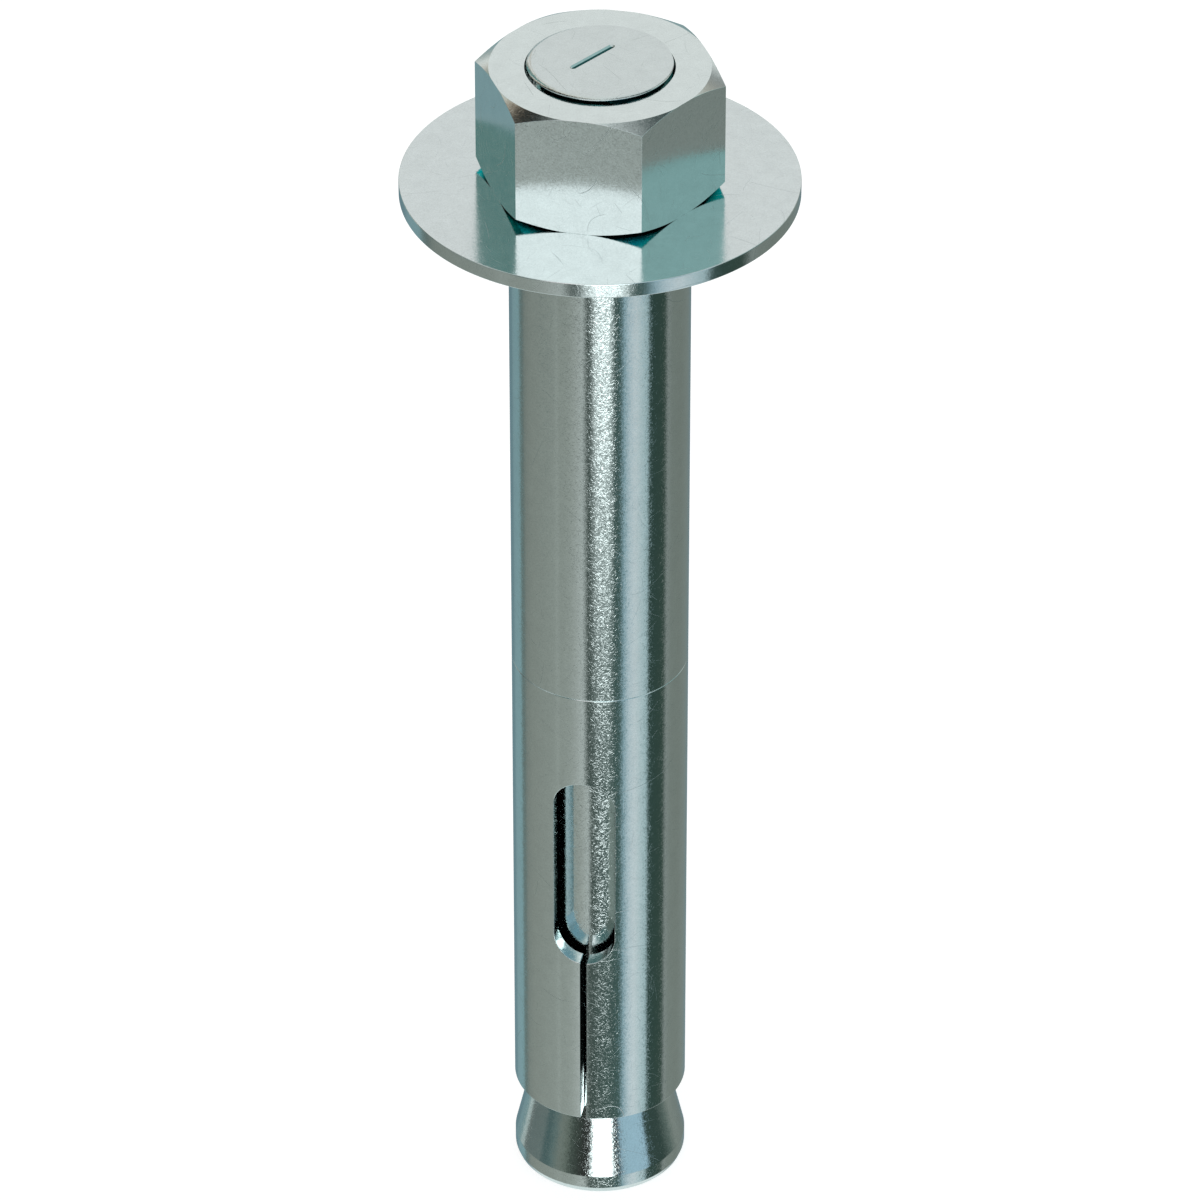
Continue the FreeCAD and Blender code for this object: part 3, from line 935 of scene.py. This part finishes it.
OVERHEAD = [
    (-180, (0.90, 0.88, 0.87)),
    (-140, (0.90, 0.85, 0.80)),
    (-130, (0.60, 0.48, 0.40)),
    (-125, (0.25, 0.17, 0.12)),
    (-122, (0.0, 0.0, 0.0)),
    (-109, (0.0, 0.005, 0.005)),
    (-106, (0.17, 0.18, 0.175)),
    (-102, (0.24, 0.25, 0.245)),
    (-90, (0.50, 0.50, 0.49)),
    (-60, (0.80, 0.80, 0.80)),
    (60, (0.85, 0.85, 0.85)),
    (91, (0.56, 0.55, 0.55)),
    (100, (0.34, 0.35, 0.345)),
    (107, (0.05, 0.07, 0.07)),
    (120, (0.05, 0.07, 0.07)),
    (130, (0.50, 0.50, 0.50)),
    (160, (0.85, 0.85, 0.85)),
    (180, (0.90, 0.88, 0.87)),
]
UNDER = (0.5, 0.52, 0.52, 1)
RAMP_TOP = 1.75
# Elevations between which one ring gives way to the next.
TO_LEVEL = (-31, -26)
TO_ABOVE = (-4, 14)
TO_OVERHEAD = (46, 54)
TO_UNDER = (-46, -58)
# Strength of the rings' light, as two elevations and the strength at each.
LOW_GAIN = (-32, -39, 0.95 * RAMP_TOP, 1.1 * RAMP_TOP)
HIGH_GAIN = (-26, -20, 0.0, RAMP_TOP)
# Bright card before the part: azimuths of its sides, their softness, and its strength by elevation,
# each row as two elevations and the strength at each, from 0 to 1 where none is given.
FRONT_CARD = (-8, 15)
FRONT_CARD_BLUR = (7, 5)
FRONT_CARD_LIGHT = 2.2
FRONT_CARD_STRENGTHS = [(-36, -31.5, 0.0, 0.55), (-31.5, -28, 1.0, 3.5), (8, 2)]


def ring(graph, azimuth, stops):
    """Light of one ring of directions."""
    scaled = [((a + 180) / 360, tuple(part / RAMP_TOP for part in colour)) for a, colour in stops]
    return graph.ramp(azimuth, scaled)


def make_studio():
    """World light: soft cards and flags on four rings, plain below and where the camera sees it."""
    world = bpy.data.worlds.new("studio")
    bpy.context.scene.world = world
    world.use_nodes = True
    graph = Graph(world.node_tree)
    direction = graph.node("TexCoord").outputs["Generated"]
    facing = graph.node(
        "VectorRotate",
        {"Vector": direction, "Angle": math.radians(-CAMERA_AZIMUTH)},
        rotation_type="Z_AXIS",
    )
    parts = graph.node("SeparateXYZ", {0: facing.outputs[0]}).outputs
    turned = graph.math("ARCTAN2", parts[0], graph.math("MULTIPLY", parts[1], -1.0))
    azimuth = graph.math("MULTIPLY_ADD", turned, 1 / TURN, 0.5)
    degrees = graph.math("MULTIPLY", turned, 360 / TURN)
    elevation = graph.math("MULTIPLY", graph.math("ARCSINE", parts[2]), 360 / TURN)
    to_level = graph.remap(elevation, *TO_LEVEL, smooth=True)
    to_above = graph.remap(elevation, *TO_ABOVE, smooth=True)
    around_part = graph.blend(to_level, ring(graph, azimuth, BELOW), ring(graph, azimuth, LEVEL))
    around_part = graph.blend(to_above, around_part, ring(graph, azimuth, ABOVE))
    to_overhead = graph.remap(elevation, *TO_OVERHEAD, smooth=True)
    around_part = graph.blend(to_overhead, around_part, ring(graph, azimuth, OVERHEAD))
    (left, right), (left_blur, right_blur) = FRONT_CARD, FRONT_CARD_BLUR
    card = graph.math(
        "MULTIPLY",
        graph.remap(degrees, left - left_blur, left + left_blur, smooth=True),
        graph.remap(degrees, right + right_blur, right - right_blur, smooth=True),
    )
    for strength in FRONT_CARD_STRENGTHS:
        card = graph.math("MULTIPLY", card, graph.remap(elevation, *strength))
    gain = graph.remap(elevation, *LOW_GAIN)
    gain = graph.math("MAXIMUM", gain, graph.remap(elevation, *HIGH_GAIN))
    around_part = graph.blend(graph.remap(elevation, *TO_UNDER), around_part, UNDER)
    light = graph.node("VectorMath", {0: around_part, 3: gain}, operation="SCALE").outputs[0]
    lit_card = graph.math("MULTIPLY", card, FRONT_CARD_LIGHT)
    card_colour = graph.node("CombineXYZ", {0: lit_card, 1: lit_card, 2: lit_card}).outputs[0]
    light = graph.node("VectorMath", {0: light, 1: card_colour}).outputs[0]
    seen = graph.node("LightPath").outputs["Is Camera Ray"]
    colour = graph.blend(seen, light, (1.0, 1.0, 1.0, 1))
    background = graph.node("Background", {"Color": colour})
    graph.node("OutputWorld", {"Surface": background.outputs[0]})


def make_floor():
    """Plain pale floor under the part, a hair lower so that it doesn't share the stud's end face."""
    mesh = bpy.data.meshes.new("floor")
    reach = 6.0
    level = -0.01 * MM
    outline = [(-reach, -reach), (reach, -reach), (reach, reach), (-reach, reach)]
    mesh.from_pydata([(x, y, level) for x, y in outline], [], [[0, 1, 2, 3]])
    floor = bpy.data.objects.new("floor", mesh)
    bpy.context.scene.collection.objects.link(floor)
    material = bpy.data.materials.new("pale_floor")
    material.use_nodes = True
    graph = Graph(material.node_tree)
    shader = graph.node(
        "BsdfPrincipled",
        {
            "Base Color": (0.5, 0.5, 0.5, 1),
            "Roughness": 0.9,
            "Emission Color": (1, 1, 1, 1),
            "Emission Strength": 0.75,
        },
    )
    graph.node("OutputMaterial", {"Surface": shader.outputs[0]})
    mesh.materials.append(material)
    floor.visible_glossy = False


def make_camera():
    """Camera at the photograph's place, measured from the part's foot."""
    camera = bpy.data.cameras.new("camera")
    camera.lens = 221.63
    camera.sensor_width = 36
    camera.clip_start = 0.01
    camera.clip_end = 20
    holder = bpy.data.objects.new("camera", camera)
    turned = math.radians(CAMERA_AZIMUTH)
    across, back = CAMERA_AWAY * math.sin(turned), -CAMERA_AWAY * math.cos(turned)
    holder.location = (across, back, CAMERA_HEIGHT)
    holder.rotation_euler = (math.radians(90 - CAMERA_DOWN), 0, turned)
    bpy.context.scene.collection.objects.link(holder)
    bpy.context.scene.camera = holder


def make_washer(material):
    """Flat washer with rounded edges."""
    low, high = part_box("washer")
    rim = high.x
    corners = [
        ((WASHER_HOLE, low.z), EDGE),
        ((rim, low.z), EDGE),
        ((rim, high.z), EDGE),
        ((WASHER_HOLE, high.z), EDGE),
    ]
    owner = {"body": "washer", "slot": "washer_zinc", "material": material, "node": "washer"}
    return make_ring("washer_steel", corners, WASHER_COLUMNS, **owner)


def make_spacer(material):
    """Plain upper sleeve with an open seam."""
    low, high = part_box("spacer_sleeve")
    seam = plain_outline(high.z - low.z, SEAM_WIDTH / 2)
    cuts = [(SEAM_AZIMUTH, seam), (SEAM_AZIMUTH + TURN, seam)]
    owner = {"body": "spacer_sleeve", "slot": "sleeve_zinc", "material": material}
    return make_sheet("spacer_sleeve_steel", "spacer_sleeve", cuts, SLEEVE_COLUMNS, **owner)


def make_expander(material):
    """Lower sleeve with an open seam, and windows with slits below them."""
    low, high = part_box("expansion_sleeve")
    seam = cut_outline(high.z - low.z, SEAM_WIDTH / 2, window=False)
    window = cut_outline(high.z - low.z, SLIT_WIDTH / 2, window=True)
    cuts = [(SEAM_AZIMUTH, seam), *((azimuth, window) for azimuth in WINDOW_AZIMUTHS)]
    cuts.append((SEAM_AZIMUTH + TURN, seam))
    owner = {"body": "expansion_sleeve", "slot": "sleeve_zinc", "material": material}
    return make_sheet("expansion_sleeve_steel", "expansion_sleeve", cuts, SLEEVE_COLUMNS, **owner)


make_camera()
make_studio()
make_floor()
bpy.context.scene.view_settings.view_transform = "Standard"

stud_zinc = make_zinc("stud_zinc", TINT, roughness=0.09, scuff=0.2, shift=0.1, painted_shade=thread_gap_shade)
sleeve_zinc = make_zinc(
    "sleeve_zinc", TINT, roughness=0.08, scuff=0.13, shift=0.2, painted_shade=slit_wall_shade
)
washer_zinc = make_zinc("washer_zinc", WASHER_TINT, roughness=0.13, scuff=0.06, shift=0.3)
nut_zinc = make_zinc(
    "nut_zinc", NUT_TINT, roughness=0.14, scuff=0.06, shift=0.4, painted_shade=under_nut_shade
)

make_stud(stud_zinc)
make_nut(nut_zinc)
make_washer(washer_zinc)
make_spacer(sleeve_zinc)
make_expander(sleeve_zinc)
